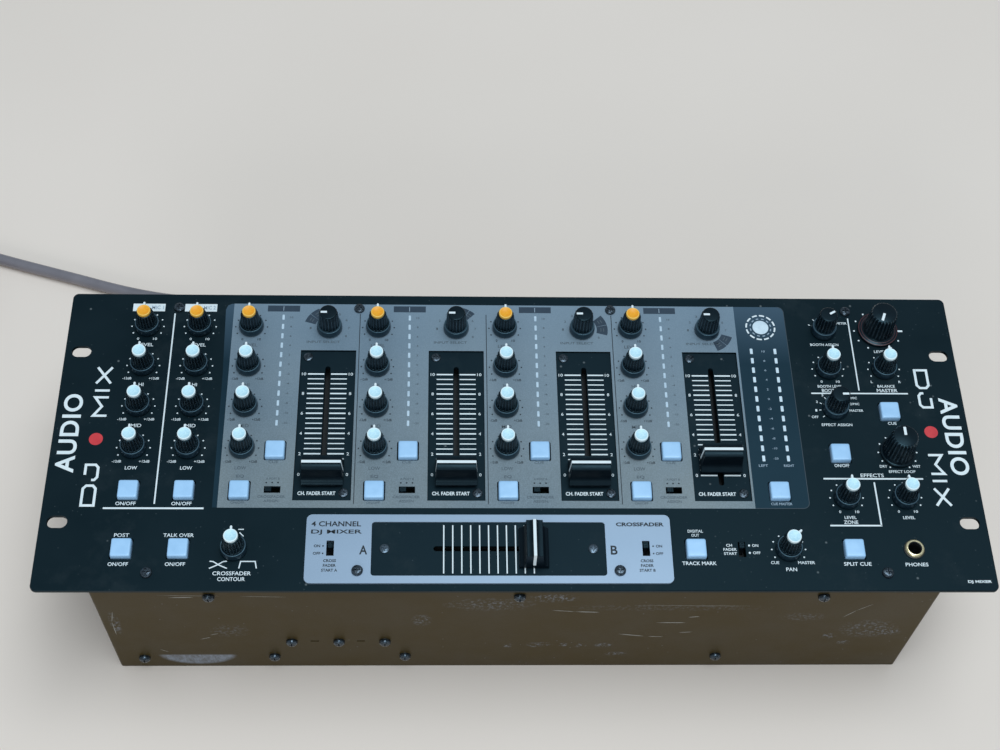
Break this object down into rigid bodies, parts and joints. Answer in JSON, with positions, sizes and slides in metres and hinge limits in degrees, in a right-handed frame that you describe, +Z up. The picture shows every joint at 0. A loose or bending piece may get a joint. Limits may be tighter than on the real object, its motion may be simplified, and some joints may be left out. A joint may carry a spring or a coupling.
{
  "type": "dj mixer",
  "caption": "Rack-mounting DJ mixer: flat control panel with rotary knobs, channel faders, a crossfader and buttons on a shallow steel case, with a free mains lead.",
  "frame": {"origin": "on the standing surface, under the middle of the control panel", "axes": "+Z up through the panel, +X along the panel's width to the user's right, +Y towards the rear wall with the sockets"},
  "size_m": [0.6769, 0.3035, 0.127],
  "materials": {
    "panel_paint": "satin black paint, silver and white printing",
    "plate_paint": "matt black paint, white printing",
    "silver_plate": "satin silver",
    "case_paint": "semi-gloss black paint, scratched",
    "circuit_board": "green solder mask",
    "socket_metal": "gold plated",
    "screw_black": "black oxide",
    "cord_rubber": "smooth black vinyl",
    "knob_black": "satin black plastic",
    "button_white": "translucent white plastic"
  },
  "bodies": {
    "mixer": {"front_panel": "panel_paint", "fader_plates": "plate_paint", "crossfader_plate": "silver_plate", "case_wrap": "case_paint", "chassis_tray": "case_paint", "internal_electronics": "circuit_board", "audio_sockets": "socket_metal", "screws": "screw_black", "cord_bush": "cord_rubber", "power_cord": "cord_rubber", "power_cord_coil": "cord_rubber", "mains_plug": "cord_rubber"},
    "mic_1_level_knob": {"mic_1_level_knob": "knob_black"},
    "mic_1_high_knob": {"mic_1_high_knob": "knob_black"},
    "mic_1_mid_knob": {"mic_1_mid_knob": "knob_black"},
    "mic_1_low_knob": {"mic_1_low_knob": "knob_black"},
    "mic_2_level_knob": {"mic_2_level_knob": "knob_black"},
    "mic_2_high_knob": {"mic_2_high_knob": "knob_black"},
    "mic_2_mid_knob": {"mic_2_mid_knob": "knob_black"},
    "mic_2_low_knob": {"mic_2_low_knob": "knob_black"},
    "channel_1_level_knob": {"channel_1_level_knob": "knob_black"},
    "channel_1_high_knob": {"channel_1_high_knob": "knob_black"},
    "channel_1_mid_knob": {"channel_1_mid_knob": "knob_black"},
    "channel_1_low_knob": {"channel_1_low_knob": "knob_black"},
    "input_selector_1": {"input_selector_1": "knob_black"},
    "channel_2_level_knob": {"channel_2_level_knob": "knob_black"},
    "channel_2_high_knob": {"channel_2_high_knob": "knob_black"},
    "channel_2_mid_knob": {"channel_2_mid_knob": "knob_black"},
    "channel_2_low_knob": {"channel_2_low_knob": "knob_black"},
    "input_selector_2": {"input_selector_2": "knob_black"},
    "channel_3_level_knob": {"channel_3_level_knob": "knob_black"},
    "channel_3_high_knob": {"channel_3_high_knob": "knob_black"},
    "channel_3_mid_knob": {"channel_3_mid_knob": "knob_black"},
    "channel_3_low_knob": {"channel_3_low_knob": "knob_black"},
    "input_selector_3": {"input_selector_3": "knob_black"},
    "channel_4_level_knob": {"channel_4_level_knob": "knob_black"},
    "channel_4_high_knob": {"channel_4_high_knob": "knob_black"},
    "channel_4_mid_knob": {"channel_4_mid_knob": "knob_black"},
    "channel_4_low_knob": {"channel_4_low_knob": "knob_black"},
    "input_selector_4": {"input_selector_4": "knob_black"},
    "crossfader_contour_knob": {"crossfader_contour_knob": "knob_black"},
    "booth_assign_selector": {"booth_assign_selector": "knob_black"},
    "master_level_knob": {"master_level_knob": "knob_black"},
    "booth_level_knob": {"booth_level_knob": "knob_black"},
    "balance_knob": {"balance_knob": "knob_black"},
    "effect_assign_selector": {"effect_assign_selector": "knob_black"},
    "effect_mix_knob": {"effect_mix_knob": "knob_black"},
    "zone_level_knob": {"zone_level_knob": "knob_black"},
    "phones_level_knob": {"phones_level_knob": "knob_black"},
    "phones_pan_knob": {"phones_pan_knob": "knob_black"},
    "channel_1_fader": {"channel_1_fader": "knob_black"},
    "channel_2_fader": {"channel_2_fader": "knob_black"},
    "channel_3_fader": {"channel_3_fader": "knob_black"},
    "channel_4_fader": {"channel_4_fader": "knob_black"},
    "crossfader": {"crossfader": "knob_black"},
    "channel_buttons": {"channel_buttons": "button_white"},
    "master_buttons": {"master_buttons": "button_white"},
    "crossfader_assign_switches": {"crossfader_assign_switches": "knob_black"},
    "start_switches": {"start_switches": "knob_black"},
    "power_switch": {"power_switch": "knob_black"}
  },
  "joints": [
    {"name": "mic_1_level_knob_turn", "type": "hinge", "parent": "mixer", "child": "mic_1_level_knob", "pos_m": [-0.1988, 0.0672, 0.109], "axis": [0, 0, -1], "range_deg": [-150, 150]},
    {"name": "mic_1_high_knob_turn", "type": "hinge", "parent": "mixer", "child": "mic_1_high_knob", "pos_m": [-0.1988, 0.0421, 0.109], "axis": [0, 0, -1], "range_deg": [-150, 150]},
    {"name": "mic_1_mid_knob_turn", "type": "hinge", "parent": "mixer", "child": "mic_1_mid_knob", "pos_m": [-0.1988, 0.017, 0.109], "axis": [0, 0, -1], "range_deg": [-150, 150]},
    {"name": "mic_1_low_knob_turn", "type": "hinge", "parent": "mixer", "child": "mic_1_low_knob", "pos_m": [-0.1988, -0.0081, 0.109], "axis": [0, 0, -1], "range_deg": [-150, 150]},
    {"name": "mic_2_level_knob_turn", "type": "hinge", "parent": "mixer", "child": "mic_2_level_knob", "pos_m": [-0.1706, 0.0672, 0.109], "axis": [0, 0, -1], "range_deg": [-150, 150]},
    {"name": "mic_2_high_knob_turn", "type": "hinge", "parent": "mixer", "child": "mic_2_high_knob", "pos_m": [-0.1706, 0.0421, 0.109], "axis": [0, 0, -1], "range_deg": [-150, 150]},
    {"name": "mic_2_mid_knob_turn", "type": "hinge", "parent": "mixer", "child": "mic_2_mid_knob", "pos_m": [-0.1706, 0.017, 0.109], "axis": [0, 0, -1], "range_deg": [-150, 150]},
    {"name": "mic_2_low_knob_turn", "type": "hinge", "parent": "mixer", "child": "mic_2_low_knob", "pos_m": [-0.1706, -0.0081, 0.109], "axis": [0, 0, -1], "range_deg": [-150, 150]},
    {"name": "channel_1_level_knob_turn", "type": "hinge", "parent": "mixer", "child": "channel_1_level_knob", "pos_m": [-0.1428, 0.0672, 0.109], "axis": [0, 0, -1], "range_deg": [-150, 150]},
    {"name": "channel_1_high_knob_turn", "type": "hinge", "parent": "mixer", "child": "channel_1_high_knob", "pos_m": [-0.1428, 0.0421, 0.109], "axis": [0, 0, -1], "range_deg": [-150, 150]},
    {"name": "channel_1_mid_knob_turn", "type": "hinge", "parent": "mixer", "child": "channel_1_mid_knob", "pos_m": [-0.1428, 0.017, 0.109], "axis": [0, 0, -1], "range_deg": [-150, 150]},
    {"name": "channel_1_low_knob_turn", "type": "hinge", "parent": "mixer", "child": "channel_1_low_knob", "pos_m": [-0.1428, -0.0081, 0.109], "axis": [0, 0, -1], "range_deg": [-150, 150]},
    {"name": "input_selector_1_turn", "type": "hinge", "parent": "mixer", "child": "input_selector_1", "pos_m": [-0.1004, 0.0667, 0.109], "axis": [0, 0, -1], "range_deg": [0, 210]},
    {"name": "channel_2_level_knob_turn", "type": "hinge", "parent": "mixer", "child": "channel_2_level_knob", "pos_m": [-0.0739, 0.0672, 0.109], "axis": [0, 0, -1], "range_deg": [-150, 150]},
    {"name": "channel_2_high_knob_turn", "type": "hinge", "parent": "mixer", "child": "channel_2_high_knob", "pos_m": [-0.0739, 0.0421, 0.109], "axis": [0, 0, -1], "range_deg": [-150, 150]},
    {"name": "channel_2_mid_knob_turn", "type": "hinge", "parent": "mixer", "child": "channel_2_mid_knob", "pos_m": [-0.0739, 0.017, 0.109], "axis": [0, 0, -1], "range_deg": [-150, 150]},
    {"name": "channel_2_low_knob_turn", "type": "hinge", "parent": "mixer", "child": "channel_2_low_knob", "pos_m": [-0.0739, -0.0081, 0.109], "axis": [0, 0, -1], "range_deg": [-150, 150]},
    {"name": "input_selector_2_turn", "type": "hinge", "parent": "mixer", "child": "input_selector_2", "pos_m": [-0.0315, 0.0667, 0.109], "axis": [0, 0, -1], "range_deg": [0, 210]},
    {"name": "channel_3_level_knob_turn", "type": "hinge", "parent": "mixer", "child": "channel_3_level_knob", "pos_m": [-0.005, 0.0672, 0.109], "axis": [0, 0, -1], "range_deg": [-150, 150]},
    {"name": "channel_3_high_knob_turn", "type": "hinge", "parent": "mixer", "child": "channel_3_high_knob", "pos_m": [-0.005, 0.0421, 0.109], "axis": [0, 0, -1], "range_deg": [-150, 150]},
    {"name": "channel_3_mid_knob_turn", "type": "hinge", "parent": "mixer", "child": "channel_3_mid_knob", "pos_m": [-0.005, 0.017, 0.109], "axis": [0, 0, -1], "range_deg": [-150, 150]},
    {"name": "channel_3_low_knob_turn", "type": "hinge", "parent": "mixer", "child": "channel_3_low_knob", "pos_m": [-0.005, -0.0081, 0.109], "axis": [0, 0, -1], "range_deg": [-150, 150]},
    {"name": "input_selector_3_turn", "type": "hinge", "parent": "mixer", "child": "input_selector_3", "pos_m": [0.0374, 0.0667, 0.109], "axis": [0, 0, -1], "range_deg": [0, 210]},
    {"name": "channel_4_level_knob_turn", "type": "hinge", "parent": "mixer", "child": "channel_4_level_knob", "pos_m": [0.0639, 0.0672, 0.109], "axis": [0, 0, -1], "range_deg": [-150, 150]},
    {"name": "channel_4_high_knob_turn", "type": "hinge", "parent": "mixer", "child": "channel_4_high_knob", "pos_m": [0.0639, 0.0421, 0.109], "axis": [0, 0, -1], "range_deg": [-150, 150]},
    {"name": "channel_4_mid_knob_turn", "type": "hinge", "parent": "mixer", "child": "channel_4_mid_knob", "pos_m": [0.0639, 0.017, 0.109], "axis": [0, 0, -1], "range_deg": [-150, 150]},
    {"name": "channel_4_low_knob_turn", "type": "hinge", "parent": "mixer", "child": "channel_4_low_knob", "pos_m": [0.0639, -0.0081, 0.109], "axis": [0, 0, -1], "range_deg": [-150, 150]},
    {"name": "input_selector_4_turn", "type": "hinge", "parent": "mixer", "child": "input_selector_4", "pos_m": [0.1063, 0.0667, 0.109], "axis": [0, 0, -1], "range_deg": [0, 210]},
    {"name": "crossfader_contour_knob_turn", "type": "hinge", "parent": "mixer", "child": "crossfader_contour_knob", "pos_m": [-0.1429, -0.0658, 0.109], "axis": [0, 0, -1], "range_deg": [-150, 150]},
    {"name": "booth_assign_selector_turn", "type": "hinge", "parent": "mixer", "child": "booth_assign_selector", "pos_m": [0.1709, 0.0672, 0.109], "axis": [0, 0, -1], "range_deg": [-165, 45]},
    {"name": "master_level_knob_turn", "type": "hinge", "parent": "mixer", "child": "master_level_knob", "pos_m": [0.201, 0.0672, 0.109], "axis": [0, 0, -1], "range_deg": [0, 300]},
    {"name": "booth_level_knob_turn", "type": "hinge", "parent": "mixer", "child": "booth_level_knob", "pos_m": [0.1704, 0.0421, 0.109], "axis": [0, 0, -1], "range_deg": [-150, 150]},
    {"name": "balance_knob_turn", "type": "hinge", "parent": "mixer", "child": "balance_knob", "pos_m": [0.201, 0.0421, 0.109], "axis": [0, 0, -1], "range_deg": [-150, 150]},
    {"name": "effect_assign_selector_turn", "type": "hinge", "parent": "mixer", "child": "effect_assign_selector", "pos_m": [0.1713, 0.017, 0.109], "axis": [0, 0, -1], "range_deg": [-210, 0]},
    {"name": "effect_mix_knob_turn", "type": "hinge", "parent": "mixer", "child": "effect_mix_knob", "pos_m": [0.201, -0.0095, 0.109], "axis": [0, 0, -1], "range_deg": [-150, 150]},
    {"name": "zone_level_knob_turn", "type": "hinge", "parent": "mixer", "child": "zone_level_knob", "pos_m": [0.1704, -0.0364, 0.109], "axis": [0, 0, -1], "range_deg": [-150, 150]},
    {"name": "phones_level_knob_turn", "type": "hinge", "parent": "mixer", "child": "phones_level_knob", "pos_m": [0.201, -0.0362, 0.109], "axis": [0, 0, -1], "range_deg": [-135, 165]},
    {"name": "phones_pan_knob_turn", "type": "hinge", "parent": "mixer", "child": "phones_pan_knob", "pos_m": [0.1369, -0.0658, 0.109], "axis": [0, 0, -1], "range_deg": [-200, 100]},
    {"name": "channel_1_fader_slide", "type": "slide", "parent": "mixer", "child": "channel_1_fader", "axis": [0, 1, 0], "range_m": [0, 0.06]},
    {"name": "channel_2_fader_slide", "type": "slide", "parent": "mixer", "child": "channel_2_fader", "axis": [0, 1, 0], "range_m": [0, 0.06]},
    {"name": "channel_3_fader_slide", "type": "slide", "parent": "mixer", "child": "channel_3_fader", "axis": [0, 1, 0], "range_m": [0, 0.06]},
    {"name": "channel_4_fader_slide", "type": "slide", "parent": "mixer", "child": "channel_4_fader", "axis": [0, 1, 0], "range_m": [-0.008, 0.052]},
    {"name": "crossfader_slide", "type": "slide", "parent": "mixer", "child": "crossfader", "axis": [1, 0, 0], "range_m": [-0.0453, 0]},
    {"name": "channel_buttons_press", "type": "slide", "parent": "mixer", "child": "channel_buttons", "axis": [0, 0, -1], "range_m": [0, 0.0012], "stiffness_N_per_m": 800, "springref_m": -0.0005},
    {"name": "master_buttons_press", "type": "slide", "parent": "mixer", "child": "master_buttons", "axis": [0, 0, -1], "range_m": [0, 0.0012], "stiffness_N_per_m": 800, "springref_m": -0.0005},
    {"name": "crossfader_assign_switches_slide", "type": "slide", "parent": "mixer", "child": "crossfader_assign_switches", "axis": [1, 0, 0], "range_m": [0, 0.004]},
    {"name": "start_switches_slide", "type": "slide", "parent": "mixer", "child": "start_switches", "axis": [0, 1, 0], "range_m": [-0.004, 0]},
    {"name": "power_switch_rock", "type": "hinge", "parent": "mixer", "child": "power_switch", "pos_m": [-0.168, 0.083, 0.062], "axis": [-1, 0, 0], "range_deg": [0, 16]}
  ]
}
